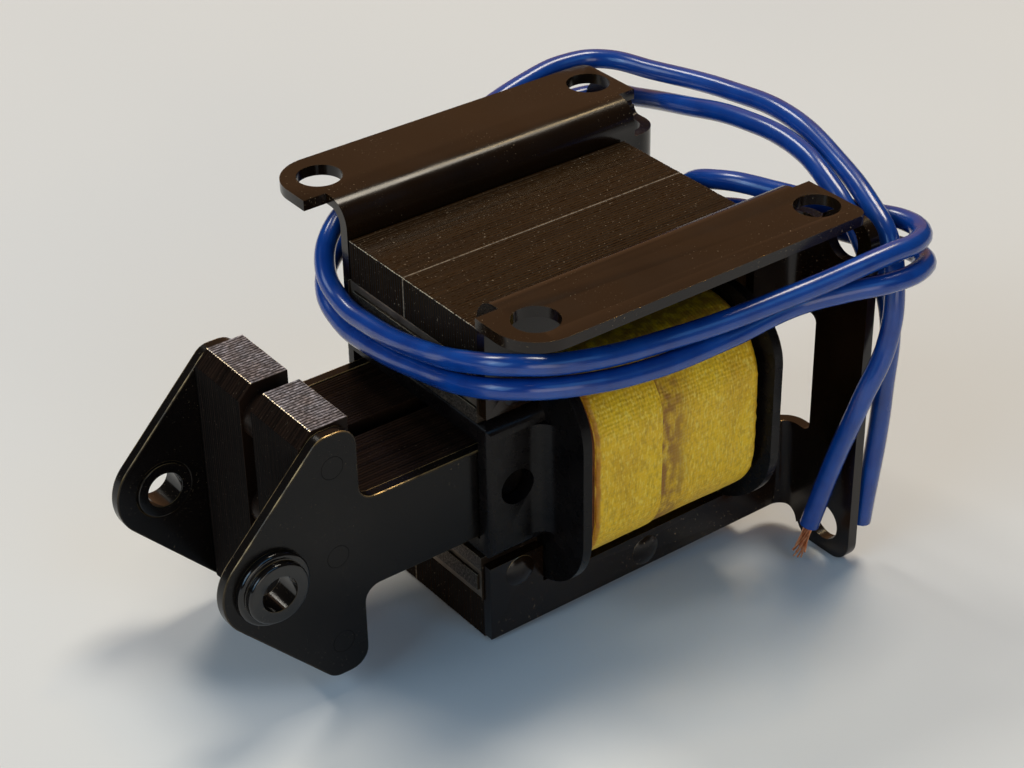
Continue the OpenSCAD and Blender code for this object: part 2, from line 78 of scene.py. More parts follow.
# ---- Leads ----
# Two stranded copper leads in glossy blue insulation come out of holes in the rear coil
# flange, are wound once round the whole solenoid and hang down at the near rear corner.
LEAD_D = 2.75 * MM
LEAD_ROUTES = {
    "lead_a": [
        (14.6, 18, -26), (18.6, 18, -26), (22.2, 16.8, -25.4), (24, 12.4, -21.8),
        (24, 7.4, -14.6), (23.8, 3.4, -8.2), (24.4, -2.6, -5.4), (27.8, -11, -5),
        (31.6, -16.4, -5.9), (34, -21.8, -5.6), (35.2, -26, -5.2), (34.2, -29.8, -4.8),
        (30.8, -32.2, -4.3), (26, -32.4, -4.1), (13.2, -30, -6.1), (-4, -26.2, -8),
        (-18, -23.8, -7.2), (-23.6, -20.8, -6.8), (-26.2, -16, -7.8), (-26.4, -7, -10.8),
        (-26.3, 6.6, -13.2), (-26.2, 13.2, -12.8), (-25.4, 17.8, -10.4), (-22, 21.2, -7.4),
        (-13, 24.6, -5.6), (2, 28.4, -4), (17, 30.3, -0.9), (23.6, 30.4, -0.2),
        (28.8, 28.5, -0.2), (32.4, 20.8, -0.3), (35.2, 8, 0.5), (35.4, -4, 1),
        (34, -15, -1.2), (32, -23, -3.3), (30.6, -27.8, -5.6), (29.8, -30.2, -11),
        (28.2, -31.2, -18.6), (25.2, -30.5, -26.2), (24.4, -26.6, -39), (22.6, -25, -48.4),
    ],
    "lead_b": [
        (14.6, 18, -31), (19, 18, -31), (22.4, 15.8, -29.8), (23.8, 11, -25),
        (23.8, 4.6, -16), (24, -1.6, -10), (27.4, -10.8, -8.4), (30.4, -18, -8.2),
        (33, -23.4, -8.6), (34.8, -27.2, -8.8), (34.2, -30.8, -8.4), (31, -33.2, -7.8),
        (26.4, -33.6, -7.6), (20, -31.2, -8), (14.4, -28.6, -9), (4, -27.2, -10.6),
        (-8, -26.2, -11), (-18, -24, -10.4), (-23.6, -20.8, -10.2), (-26.2, -16, -11.2),
        (-26.4, -6, -14), (-26.3, 7, -16.2), (-26.2, 13.6, -15.9), (-25.2, 18.4, -14),
        (-21.6, 22.2, -12), (-12, 25.6, -10.4), (4, 29.4, -9), (18, 31.8, -7.6),
        (26, 31.7, -6.8), (30.6, 29.2, -6.3), (31.9, 24, -5.4), (31.6, 14, -2.8),
        (32, 2, -0.5), (31.9, -9.2, -0.4), (30.6, -16.6, -2.2), (29.8, -21.6, -4.8),
        (30, -25, -9.2), (31.2, -27.9, -15), (30.6, -29, -28.4), (29.8, -27.7, -49.4),
    ],
}


def new_material(name):
    """New material, with the nodes, the links and the shader of its graph."""
    m = bpy.data.materials.new(name)
    m.use_nodes = True
    return m, m.node_tree.nodes, m.node_tree.links, m.node_tree.nodes["Principled BSDF"]


def noise_of(m, scale, detail=4, stretch=(1, 1, 1)):
    """Noise on the piece's own coordinates, stretched along an axis where the finish runs."""
    nodes, links = m.node_tree.nodes, m.node_tree.links
    where = nodes.new("ShaderNodeTexCoord")
    place = nodes.new("ShaderNodeMapping")
    place.inputs["Scale"].default_value = stretch
    noise = nodes.new("ShaderNodeTexNoise")
    noise.inputs["Scale"].default_value = scale
    noise.inputs["Detail"].default_value = detail
    links.new(where.outputs["Object"], place.inputs["Vector"])
    links.new(place.outputs["Vector"], noise.inputs["Vector"])
    return noise.outputs["Fac"]


def ramp_of(m, value, stops):
    """Colour ramp from a 0 to 1 value; stops are (place, colour) pairs."""
    ramp = m.node_tree.nodes.new("ShaderNodeValToRGB")
    elements = ramp.color_ramp.elements
    while len(elements) < len(stops):
        elements.new(0.5)
    for element, (place, colour) in zip(elements, stops):
        element.position = place
        element.color = (*colour, 1)
    m.node_tree.links.new(value, ramp.inputs["Fac"])
    return ramp.outputs["Color"]


def grey(level):
    return (level, level, level)


def bump_of(m, shader, value, distance, strength, under=None):
    """Bump of a height in metres on a shader, over another bump where there is one."""
    bump = m.node_tree.nodes.new("ShaderNodeBump")
    bump.inputs["Strength"].default_value = strength
    bump.inputs["Distance"].default_value = distance
    m.node_tree.links.new(value, bump.inputs["Height"])
    if under is not None:
        m.node_tree.links.new(under, bump.inputs["Normal"])
    m.node_tree.links.new(bump.outputs["Normal"], shader.inputs["Normal"])
    return bump.outputs["Normal"]


insulation, _, links, shader = new_material("blue_insulation")
links.new(
    ramp_of(
        insulation, noise_of(insulation, 260),
        [(0.3, (0.002, 0.036, 0.22)), (0.7, (0.003, 0.06, 0.31))],
    ),
    shader.inputs["Base Color"],
)
links.new(
    ramp_of(insulation, noise_of(insulation, 90), [(0.3, grey(0.24)), (0.7, grey(0.28))]),
    shader.inputs["Roughness"],
)
shader.inputs["Coat Weight"].default_value = 0.4
shader.inputs["Coat Roughness"].default_value = 0.12

for name, route in LEAD_ROUTES.items():
    line = bpy.data.curves.new(name, "CURVE")
    line.dimensions = "3D"
    line.bevel_depth = LEAD_D / 2
    line.bevel_resolution = 5
    line.resolution_u = 14
    line.use_fill_caps = True
    spline = line.splines.new("BEZIER")
    spline.bezier_points.add(len(route) - 1)
    for knot, point in zip(spline.bezier_points, route):
        knot.co = Vector(point) * MM
        knot.handle_left_type = knot.handle_right_type = "AUTO"
    line.materials.append(insulation)
    lead = bpy.data.objects.new(name, line)
    bpy.context.scene.collection.objects.link(lead)
    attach(lead, "frame")
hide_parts("lead_wire_a")
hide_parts("lead_wire_b")


# ---- Bare copper end ----
# The insulation of one lead is stripped: its soft copper strands keep their twist
# near the cut and splay apart at the tip.
STRAND_D = 0.26 * MM
STRAND_LAYERS = ((1, 0), (5, 0.29), (10, 0.52))  # how many strands, and how far out in mm
STRAND_STEPS = 12
STRAND_TWIST = 1.9  # radians over the bare length
bare_copper, _, links, shader = new_material("bare_copper")
links.new(
    ramp_of(
        bare_copper, noise_of(bare_copper, 1400),
        [(0.35, (0.7, 0.2, 0.07)), (0.65, (0.95, 0.46, 0.24))],
    ),
    shader.inputs["Base Color"],
)
shader.inputs["Metallic"].default_value = 1
shader.inputs["Roughness"].default_value = 0.3
bump_of(bare_copper, shader, noise_of(bare_copper, 3000), 0.00002, 0.5)


def tube(bm, points, radius, sides):
    """Closed round tube along points, added to a mesh in making."""
    side, rings = None, []
    for i, p in enumerate(points):
        ahead = (points[min(i + 1, len(points) - 1)] - points[max(i - 1, 0)]).normalized()
        if side is None:
            side = ahead.orthogonal().normalized()
        side = (side - ahead * side.dot(ahead)).normalized()
        other = ahead.cross(side)
        turns = [2 * math.pi * k / sides for k in range(sides)]
        spokes = [side * math.cos(t) + other * math.sin(t) for t in turns]
        rings.append([bm.verts.new(p + spoke * radius) for spoke in spokes])
    for a, b in zip(rings, rings[1:]):
        for k in range(sides):
            bm.faces.new((a[k], a[(k + 1) % sides], b[(k + 1) % sides], b[k]))
    bm.faces.new(reversed(rings[0]))
    bm.faces.new(rings[-1])


def finished(name, bm, material, body, slot, *replaced, smooth=math.radians(35)):
    """Object from a mesh in making, with its material, body and the solids it stands for; the slot
    is not used.
    """
    bmesh.ops.recalc_face_normals(bm, faces=bm.faces)
    mesh = bpy.data.meshes.new(name)
    bm.to_mesh(mesh)
    bm.free()
    mesh.materials.append(material)
    mesh.polygons.foreach_set("use_smooth", [True] * len(mesh.polygons))
    mesh.set_sharp_from_angle(angle=smooth)
    piece = bpy.data.objects.new(name, mesh)
    bpy.context.scene.collection.objects.link(piece)
    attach(piece, body)
    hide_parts(*replaced)
    return piece


tip, before_tip = (Vector(p) * MM for p in reversed(LEAD_ROUTES["lead_a"][-2:]))
down = (tip - before_tip).normalized()
side_a = down.orthogonal().normalized()
side_b = down.cross(side_a)
draw = random.Random(4)
bm = bmesh.new()
strand = 0
for count, ring in STRAND_LAYERS:
    for _ in range(count):
        turn = 2 * math.pi * (strand / count)
        splay = draw.uniform(0.1, 0.9)
        reach = draw.uniform(5.0, 6.0)
        points = []
        for k in range(STRAND_STEPS + 1):
            t = k / STRAND_STEPS
            out = (ring + splay * max(0, t - 0.45) ** 1.6 * 1.6) * MM
            angle = turn + STRAND_TWIST * t
            along = (reach * t - 0.6) * MM
            spoke = side_a * math.cos(angle) + side_b * math.sin(angle)
            points.append(tip + down * along + spoke * out)
        tube(bm, points, STRAND_D / 2, 6)
        strand += 1
bare_strands = finished("bare_strands", bm, bare_copper, "frame", "lead_copper", "lead_strands")


# ---- Side brackets ----
# Each is one blank of 1.5 mm steel, pierced, bent to a top flange and a rear flange and
# dipped in black-brown enamel, which thins to a brassy brown on its edges. The brassy
# wear is weighted to upward-facing edges: partly real wear, partly a painted glint.
WELD = 2e-6
SHARP = math.radians(38)


def small_rims(edges, across):
    """Edges of closed loops that are narrower than a width, such as the rims of rivet holes."""
    left, rims = set(edges), set()
    while left:
        rim, front = set(), [left.pop()]
        while front:
            e = front.pop()
            rim.add(e)
            for vert in e.verts:
                for other in vert.link_edges:
                    if other in left:
                        left.discard(other)
                        front.append(other)
        places = [v.co for e in rim for v in e.verts]
        if max(max(p[i] for p in places) - min(p[i] for p in places) for i in range(3)) < across:
            rims |= rim
    return rims


def eased(node, name, width, material, slot, body="frame", bare_face=None, rims=0.0):
    """Copy of a plain solid with its sharp edges broken; rims narrower than a width stay whole."""
    bm = bmesh.new()
    bm.from_mesh(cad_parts[node].data)
    bmesh.ops.remove_doubles(bm, verts=bm.verts, dist=WELD)
    flat = math.radians(1.2)
    bmesh.ops.dissolve_limit(bm, angle_limit=flat, verts=bm.verts, edges=bm.edges)
    wear_and_highlight = bm.faces.layers.float.new("wear_and_highlight")
    bare = bm.faces.layers.float.new("bare")
    edges = [e for e in bm.edges if len(e.link_faces) == 2 and e.calc_face_angle(0) > SHARP]
    if rims:
        filled = small_rims(edges, rims)
        edges = [e for e in edges if e not in filled]
    rounds = bmesh.ops.bevel(
        bm, geom=edges, offset=width, offset_type="OFFSET", segments=2, profile=0.6,
        affect="EDGES", clamp_overlap=True,
    )
    for face in rounds["faces"]:
        face.normal_update()
        # Wear weighted to upward-facing edges: partly real wear, partly a painted glint where light
        # falls on top edges.
        face[wear_and_highlight] = 0.05 + 0.95 * max(0, face.normal.z) ** 2
    for face in bm.faces:
        if bare_face and bare_face(face):
            face[bare] = 1
    finished(name, bm, material, body, slot, node, smooth=math.radians(24))


def mixed(m, amount, a, b):
    """Colour between two, each a socket or a plain colour."""
    mix = m.node_tree.nodes.new("ShaderNodeMix")
    mix.data_type = "RGBA"
    for value, name in ((amount, "Factor"), (a, "A"), (b, "B")):
        socket = mix.inputs[name]
        if isinstance(value, tuple):
            socket.default_value = (*value, 1)
        else:
            m.node_tree.links.new(value, socket)
    return mix.outputs["Result"]


def times(m, a, b):
    """Product of two values, such as where an edge is and how worn it is there."""
    product = m.node_tree.nodes.new("ShaderNodeMath")
    product.operation = "MULTIPLY"
    m.node_tree.links.new(a, product.inputs[0])
    m.node_tree.links.new(b, product.inputs[1])
    return product.outputs["Value"]


def marked(m, name):
    """Value of a mark that the piece's faces carry."""
    mark = m.node_tree.nodes.new("ShaderNodeAttribute")
    mark.attribute_name = name
    return mark.outputs["Fac"]


def enamel(name, dark, warm, rough, dust, gloss=0.38, thin=0.85):
    """Black-brown baked enamel: glossy, faintly uneven, thin and brassy on the marked edges (partly
    wear, partly a painted glint), with fine dust on it.
    """
    m, _, links, shader = new_material(name)
    tone = ramp_of(m, noise_of(m, 55, 6), [(0.35, dark), (0.75, warm)])
    patchy = ramp_of(m, noise_of(m, 420, 3), [(0.36, grey(0.1)), (0.62, grey(thin))])
    rubbed_and_glinting = times(m, marked(m, "wear_and_highlight"), patchy)
    # Brassy metallic edge colour: partly worn enamel, partly a painted glint on upward edges.
    tone = mixed(m, rubbed_and_glinting, tone, (0.62, 0.42, 0.18))
    links.new(rubbed_and_glinting, shader.inputs["Metallic"])
    specks = ramp_of(m, noise_of(m, 3400, 2), [(0.68, grey(0)), (0.73, grey(1))])
    patches = ramp_of(m, noise_of(m, 90, 3), [(0.45, grey(0)), (0.7, grey(dust))])
    dusty = mixed(m, times(m, specks, patches), tone, (0.5, 0.38, 0.24))
    links.new(dusty, shader.inputs["Base Color"])
    polish = ramp_of(m, noise_of(m, 140, 5), [(0.3, grey(rough)), (0.75, grey(rough + 0.12))])
    links.new(polish, shader.inputs["Roughness"])
    shader.inputs["Specular IOR Level"].default_value = gloss
    bump_of(m, shader, noise_of(m, 500, 3), 0.00002, 0.3)
    return m


bracket_enamel = enamel(
    "bracket_enamel", (0.006, 0.0026, 0.001), (0.014, 0.0056, 0.0014), 0.15, dust=0.6,
)
for side in ("near", "far"):
    eased("side_bracket_" + side, "bracket_" + side, 0.22 * MM, bracket_enamel, "bracket_enamel")


# ---- Lamination stacks ----
# Half millimetre silicon steel sheets, punched to a C and stacked in two packs; none
# lies quite flush with the next, and the dipping varnish is worn thin on their edges.
# The pale line along their top front edges is partly bare steel, partly a painted
# highlight; their end faces are painted darker, a painted shade.
SHEET_PITCH = 0.5 * MM
SHEET_T = 0.47 * MM
BURR = 0.07 * MM
FIELD_WANDER = 0.02 * MM


def tree_node(tree, kind, **settings):
    """Node added to a tree, with its settings."""
    node = tree.nodes.new(kind)
    for key, value in settings.items():
        setattr(node, key, value)
    return node


def sheet_stack_tree():
    """Nodes that repeat one sheet across Y, each shifted a hair along X and Z."""
    tree = bpy.data.node_groups.new("sheet_stack", "GeometryNodeTree")
    face = tree.interface
    face.new_socket("Sheet", in_out="INPUT", socket_type="NodeSocketGeometry")
    face.new_socket("Count", in_out="INPUT", socket_type="NodeSocketInt")
    face.new_socket("Pitch", in_out="INPUT", socket_type="NodeSocketFloat")
    face.new_socket("Wander", in_out="INPUT", socket_type="NodeSocketFloat")
    face.new_socket("Seed", in_out="INPUT", socket_type="NodeSocketInt")
    face.new_socket("Finish", in_out="INPUT", socket_type="NodeSocketMaterial")
    face.new_socket("Stack", in_out="OUTPUT", socket_type="NodeSocketGeometry")
    given = tree_node(tree, "NodeGroupInput")
    result = tree_node(tree, "NodeGroupOutput")
    step = tree_node(tree, "ShaderNodeCombineXYZ")
    row = tree_node(tree, "GeometryNodeMeshLine", mode="OFFSET")
    back = tree_node(tree, "ShaderNodeMath", operation="MULTIPLY")
    back.inputs[1].default_value = -1
    least = tree_node(tree, "ShaderNodeCombineXYZ")
    most = tree_node(tree, "ShaderNodeCombineXYZ")
    draw = tree_node(tree, "FunctionNodeRandomValue", data_type="FLOAT_VECTOR")
    shift = tree_node(tree, "GeometryNodeSetPosition")
    repeat = tree_node(tree, "GeometryNodeInstanceOnPoints")
    real = tree_node(tree, "GeometryNodeRealizeInstances")
    finish = tree_node(tree, "GeometryNodeSetMaterial")
    link = tree.links.new
    link(given.outputs["Pitch"], step.inputs["Y"])
    link(given.outputs["Count"], row.inputs["Count"])
    link(step.outputs["Vector"], row.inputs["Offset"])
    link(given.outputs["Wander"], back.inputs[0])
    for axis in ("X", "Z"):
        link(back.outputs["Value"], least.inputs[axis])
        link(given.outputs["Wander"], most.inputs[axis])
    link(least.outputs["Vector"], draw.inputs["Min"])
    link(most.outputs["Vector"], draw.inputs["Max"])
    link(given.outputs["Seed"], draw.inputs["Seed"])
    link(row.outputs["Mesh"], shift.inputs["Geometry"])
    link(draw.outputs["Value"], shift.inputs["Offset"])
    link(shift.outputs["Geometry"], repeat.inputs["Points"])
    link(given.outputs["Sheet"], repeat.inputs["Instance"])
    link(repeat.outputs["Instances"], real.inputs["Geometry"])
    link(real.outputs["Geometry"], finish.inputs["Geometry"])
    link(given.outputs["Finish"], finish.inputs["Material"])
    link(finish.outputs["Geometry"], result.inputs["Stack"])
    return tree


sheet_stack = sheet_stack_tree()


def one_sheet(node, bare_above):
    """Mesh of the first sheet of a pack, its edges burred and its faces above a height bare."""
    bm = bmesh.new()
    bm.from_mesh(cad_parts[node].data)
    bmesh.ops.remove_doubles(bm, verts=bm.verts, dist=WELD)
    side = min(v.co.y for v in bm.verts)
    others = [
        f for f in bm.faces
        if abs(f.normal.y) < 0.99 or f.calc_center_median().y > side + 1e-5
    ]
    bmesh.ops.delete(bm, geom=others, context="FACES")
    flat = math.radians(1)
    bmesh.ops.dissolve_limit(bm, angle_limit=flat, verts=bm.verts, edges=bm.edges)
    wear_and_highlight = bm.faces.layers.float.new("wear_and_highlight")
    bare = bm.faces.layers.float.new("bare")
    shaded_matt = bm.faces.layers.float.new("shaded_matt")
    grown = bmesh.ops.extrude_face_region(bm, geom=list(bm.faces))["geom"]
    for item in grown:
        if isinstance(item, bmesh.types.BMVert):
            item.co.y += SHEET_T
    bmesh.ops.recalc_face_normals(bm, faces=bm.faces)
    shortest = 0.4 * MM
    outline = [e for e in bm.edges if e.calc_length() > shortest and e.calc_face_angle(0) > SHARP]
    rounds = bmesh.ops.bevel(bm, geom=outline, offset=BURR, segments=1, affect="EDGES")
    top = max(v.co.z for v in bm.verts)
    # The top front and back edges of each sheet are marked pale: partly worn bare steel, partly a
    # painted highlight.
    for face in rounds["faces"]:
        if face.calc_center_median().z > top - 0.1 * MM:
            face.normal_update()
            at_end = abs(face.normal.x) > 0.3
            face[wear_and_highlight] = 1 if at_end else 0.03
            face[bare] = 0.6 if at_end else 0
    for face in bm.faces:
        # End faces along X are marked: painted darker there, a painted shade, and made matt.
        if abs(face.normal.x) > 0.9:
            face[shaded_matt] = 1
        if face.normal.z > 0.9 and face.calc_center_median().z > bare_above:
            face[bare] = 1
    mesh = bpy.data.meshes.new(node)
    bm.to_mesh(mesh)
    bm.free()
    return mesh


def stacked(node, name, material, body, seed, wander, bare_above=1.0):
    """A pack of separate sheets in place of its plain solid; each wanders by up to a length."""
    low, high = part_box(node)
    first = bpy.data.objects.new(name, one_sheet(node, bare_above))
    bpy.context.scene.collection.objects.link(first)
    stack = first.modifiers.new("stack", "NODES")
    stack.node_group = sheet_stack
    values = {
        "Count": int(round((high[1] - low[1]) / SHEET_PITCH)),
        "Pitch": SHEET_PITCH,
        "Wander": wander,
        "Seed": seed,
        "Finish": material,
    }
    for item in sheet_stack.interface.items_tree:
        if item.in_out == "INPUT" and item.name in values:
            stack[item.identifier] = values[item.name]
    seen = first.evaluated_get(bpy.context.evaluated_depsgraph_get())
    mesh = bpy.data.meshes.new_from_object(seen)
    bpy.data.objects.remove(first)
    piece = bpy.data.objects.new(name, mesh)
    bpy.context.scene.collection.objects.link(piece)
    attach(piece, body)
    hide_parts(node)


def across(m, axis, at, half):
    """1 within half a width of a plane square to an axis, 0 elsewhere."""
    where = m.node_tree.nodes.new("ShaderNodeTexCoord")
    apart = m.node_tree.nodes.new("ShaderNodeSeparateXYZ")
    near = m.node_tree.nodes.new("ShaderNodeMath")
    near.operation = "COMPARE"
    near.inputs[1].default_value = at
    near.inputs[2].default_value = half
    m.node_tree.links.new(where.outputs["Object"], apart.inputs["Vector"])
    m.node_tree.links.new(apart.outputs[axis], near.inputs[0])
    return near.outputs["Value"]


def varnished_sheets(name, dark, warm, bare, rough, gloss=0.14, dust=0.5, relief=0.12, seam=None):
    """Varnish over sheet edges: differs by sheet, bare where worn, pale on marked edges (worn steel
    and painted highlight), and on the end faces painted darker, a painted shade, and matt.
    """
    m, _, links, shader = new_material(name)
    by_sheet = noise_of(m, 1 / SHEET_PITCH, 2, (0.03, 1, 0.03))
    tone = ramp_of(m, by_sheet, [(0.35, dark), (0.7, warm)])
    # End faces painted darker: painted shade.
    tone = mixed(m, marked(m, "shaded_matt"), tone, tuple(c * 0.4 for c in dark))
    grain = ramp_of(
        m, noise_of(m, 3600, 3, (0.5, 1, 1)),
        [(0.38, grey(0.05)), (0.55, grey(0.4)), (0.7, grey(1))],
    )
    steel = mixed(m, grain, tuple(c * 0.3 for c in bare), tuple(min(1, c * 2.2) for c in bare))
    tone = mixed(m, marked(m, "bare"), tone, steel)
    patchy = ramp_of(m, noise_of(m, 1700, 3), [(0.36, grey(0)), (0.5, grey(1))])
    # Pale tan on the marked edges: partly worn varnish, partly a painted highlight.
    tone = mixed(m, times(m, marked(m, "wear_and_highlight"), patchy), tone, (0.8, 0.66, 0.46))
    if seam is not None:
        # Pale dotted line along the seam between the packs: partly chipped varnish, partly a
        # painted highlight on the raised edge there.
        chips_and_glint = ramp_of(m, noise_of(m, 2600, 2), [(0.3, grey(0.35)), (0.55, grey(1))])
        gap = times(m, across(m, "Y", seam, 0.1 * MM), chips_and_glint)
        tone = mixed(m, gap, tone, (0.34, 0.26, 0.18))
    specks = ramp_of(m, noise_of(m, 3400, 2), [(0.68, grey(0)), (0.73, grey(dust))])
    links.new(mixed(m, specks, tone, (0.4, 0.3, 0.2)), shader.inputs["Base Color"])
    shine = ramp_of(m, noise_of(m, 500), [(0.3, grey(0.5)), (0.7, grey(0.8))])
    links.new(times(m, marked(m, "bare"), shine), shader.inputs["Metallic"])
    polish = ramp_of(m, noise_of(m, 300, 4), [(0.3, grey(rough)), (0.75, grey(rough + 0.08))])
    links.new(mixed(m, marked(m, "shaded_matt"), polish, grey(0.8)), shader.inputs["Roughness"])
    shader.inputs["Specular IOR Level"].default_value = gloss
    bump_of(m, shader, noise_of(m, 1300, 3, (0.3, 1, 1)), 0.00003, relief)
    return m


pack_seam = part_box("field_pack_far")[0][1]
stack_varnish = varnished_sheets(
    "stack_varnish", (0.018, 0.0085, 0.003), (0.03, 0.014, 0.0045), (0.2, 0.18, 0.17), 0.2,
    seam=pack_seam,
)
for seed, half in enumerate(("near", "far")):
    stacked("field_pack_" + half, "field_stack_" + half, stack_varnish,
            "frame", seed, FIELD_WANDER)


# ---- Pole blocks and shading rings ----
# The blocks' front faces are ground after stacking, so the steel shows there; a copper
# ring is set flush into a slot of each and varnished over.
pole_steel = varnished_sheets(
    "pole_steel", (0.01, 0.006, 0.004), (0.03, 0.02, 0.012), (0.11, 0.085, 0.065), 0.28,
)
for place in ("upper", "lower"):
    eased("pole_block_" + place, "pole_" + place, 0.1 * MM, pole_steel, "lamination_bare",
          bare_face=lambda face: face.normal.x < -0.9)
ring_copper, _, links, shader = new_material("ring_copper")
links.new(
    ramp_of(
        ring_copper, noise_of(ring_copper, 300),
        [(0.3, (0.12, 0.08, 0.055)), (0.7, (0.34, 0.26, 0.19))],
    ),
    shader.inputs["Base Color"],
)
shader.inputs["Metallic"].default_value = 0.7
shader.inputs["Roughness"].default_value = 0.4
bump_of(ring_copper, shader, noise_of(ring_copper, 900), 0.00002, 0.4)
for place in ("upper", "lower"):
    eased("shading_ring_" + place, "ring_" + place, 0.08 * MM, ring_copper, "ring_copper")


# ---- Rivets of the field ----
# Plain steel rivets squeeze the stack between the brackets; their low round heads were
# formed before the dip.
eased("frame_rivets", "stack_rivets", 0.1 * MM, bracket_enamel, "rivet_steel")
eased("pole_rivets", "pole_block_rivets", 0.1 * MM, bracket_enamel, "rivet_steel")


# ---- Bobbin ----
# Glass filled plastic, moulded dark brown-black; its eased edges are paler in patches,
# weighted to upward-facing edges: partly chips, partly a painted highlight.
bobbin_plastic, _, links, shader = new_material("bobbin_plastic")
plastic = ramp_of(
    bobbin_plastic, noise_of(bobbin_plastic, 220, 6),
    [(0.35, (0.0025, 0.002, 0.002)), (0.75, (0.007, 0.005, 0.0045))],
)
patchy = ramp_of(
    bobbin_plastic, noise_of(bobbin_plastic, 650, 4), [(0.5, grey(0)), (0.64, grey(0.8))],
)
chipped_and_highlit = times(bobbin_plastic, marked(bobbin_plastic, "wear_and_highlight"), patchy)
links.new(
    # Paler patches on the marked edges: partly chips, partly a painted highlight on upward edges.
    mixed(bobbin_plastic, chipped_and_highlit, plastic, (0.1, 0.075, 0.06)),
    shader.inputs["Base Color"],
)
links.new(
    ramp_of(
        bobbin_plastic, noise_of(bobbin_plastic, 500, 4), [(0.3, grey(0.2)), (0.7, grey(0.36))],
    ),
    shader.inputs["Roughness"],
)
shader.inputs["Specular IOR Level"].default_value = 0.18
bump_of(bobbin_plastic, shader, noise_of(bobbin_plastic, 700, 5), 0.00004, 0.35)
eased("bobbin", "coil_bobbin", 0.2 * MM, bobbin_plastic, "bobbin_plastic")


# ---- Coil winding ----
# Enamelled copper wire in close layers; only a sliver of it shows beside the tape.
winding_copper, nodes, links, shader = new_material("winding_copper")
links.new(
    ramp_of(
        winding_copper, noise_of(winding_copper, 400),
        [(0.3, (0.12, 0.04, 0.012)), (0.7, (0.3, 0.1, 0.03))],
    ),
    shader.inputs["Base Color"],
)
shader.inputs["Metallic"].default_value = 0.8
shader.inputs["Roughness"].default_value = 0.38
turns_wave = nodes.new("ShaderNodeTexWave")
turns_wave.bands_direction = "X"
turns_wave.inputs["Scale"].default_value = 900
where = nodes.new("ShaderNodeTexCoord")
links.new(where.outputs["Object"], turns_wave.inputs["Vector"])
bump_of(winding_copper, shader, turns_wave.outputs["Fac"], 0.0001, 0.8)
eased("coil_winding", "winding", 0.2 * MM, winding_copper, "magnet_wire")


# ---- Coil tape ----
# Yellow glass cloth tape round the coil. Its two strips are one band here, with a step
# where they overlap; varnish has browned the overlap, the upper side of the band is
# browned as well, and the cut edges are frayed.
TAPE_SEAM_X = -1.8 * MM
TAPE_STEP = 0.16 * MM
TAPE_FRAY = 0.3 * MM
TAPE_WALL = 0.5 * MM
TAPE_CORNER = 9.6 * MM
CLOTH_PITCH = 0.9 * MM
WEAVE_SCALE = 620
glass_tape, nodes, links, shader = new_material("glass_tape")


def cloth_mark(scale, stretch, stops, detail=5):
    """Colour ramp over noise on the tape."""
    return ramp_of(glass_tape, noise_of(glass_tape, scale, detail, stretch), stops)


yellow = cloth_mark(
    170, (1, 1, 0.4),
    [(0.25, (0.66, 0.36, 0.003)), (0.5, (0.86, 0.53, 0.004)), (0.8, (0.95, 0.64, 0.012))], 6,
)
ochre = cloth_mark(2300, (1, 1, 0.5), [(0.45, grey(0)), (0.65, grey(0.5))], 4)
cloth = mixed(glass_tape, ochre, yellow, (0.5, 0.27, 0.006))
fibres = cloth_mark(3400, (1, 1, 0.3), [(0.52, grey(0)), (0.66, grey(0.55))], 3)
cloth = mixed(glass_tape, fibres, cloth, (1.0, 0.8, 0.14))
stain = cloth_mark(800, (1, 1, 0.6), [(0.38, grey(0.25)), (0.56, grey(1))], 6)
# Brown over the overlap and over the band's upper side.
browned_cloth = times(glass_tape, marked(glass_tape, "browned_mark"), stain)
cloth = mixed(glass_tape, browned_cloth, cloth, (0.34, 0.15, 0.015))
patchy = cloth_mark(300, (1, 1, 1), [(0.3, grey(0.5)), (0.6, grey(1))])
edge_stain = times(glass_tape, marked(glass_tape, "edge"), patchy)
links.new(mixed(glass_tape, edge_stain, cloth, (0.5, 0.17, 0.01)), shader.inputs["Base Color"])
matt = cloth_mark(500, (1, 1, 1), [(0.3, grey(0.36)), (0.7, grey(0.6))])
links.new(matt, shader.inputs["Roughness"])
where = nodes.new("ShaderNodeTexCoord")
woven = None
for direction, height, strength in (("Z", 0.00005, 0.6), ("X", 0.00004, 0.5)):
    threads = nodes.new("ShaderNodeTexWave")
    threads.bands_direction = direction
    threads.inputs["Scale"].default_value = WEAVE_SCALE
    threads.inputs["Distortion"].default_value = 2.5
    links.new(where.outputs["Object"], threads.inputs["Vector"])
    woven = bump_of(glass_tape, shader, threads.outputs["Fac"], height, strength, woven)
bump_of(glass_tape, shader, noise_of(glass_tape, 500, 6, (1, 1, 0.5)), 0.00022, 0.6, woven)


def round_loop(half_y, half_z, radius, centre_z, steps):
    """Points and outward directions round a rectangle with round corners, in Y and Z."""
    loop = []
    for k, (sy, sz) in enumerate(((1, 1), (-1, 1), (-1, -1), (1, -1))):
        for i in range(steps + 1):
            turn = math.pi / 2 * (k + i / steps)
            out = Vector((0, math.cos(turn), math.sin(turn)))
            corner = Vector((0, sy * (half_y - radius), sz * (half_z - radius) + centre_z))
            loop.append((corner + out * radius, out))
    dense = []
    for (p, n), (q, m) in zip(loop, loop[1:] + loop[:1]):
        parts = max(1, round((q - p).length / CLOTH_PITCH))
        for i in range(parts):
            dense.append((p.lerp(q, i / parts), n.lerp(m, i / parts).normalized()))
    return dense


low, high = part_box("coil_wrap")
loop = round_loop(
    (high[1] - low[1]) / 2, (high[2] - low[2]) / 2, TAPE_CORNER, (low[2] + high[2]) / 2, 14,
)
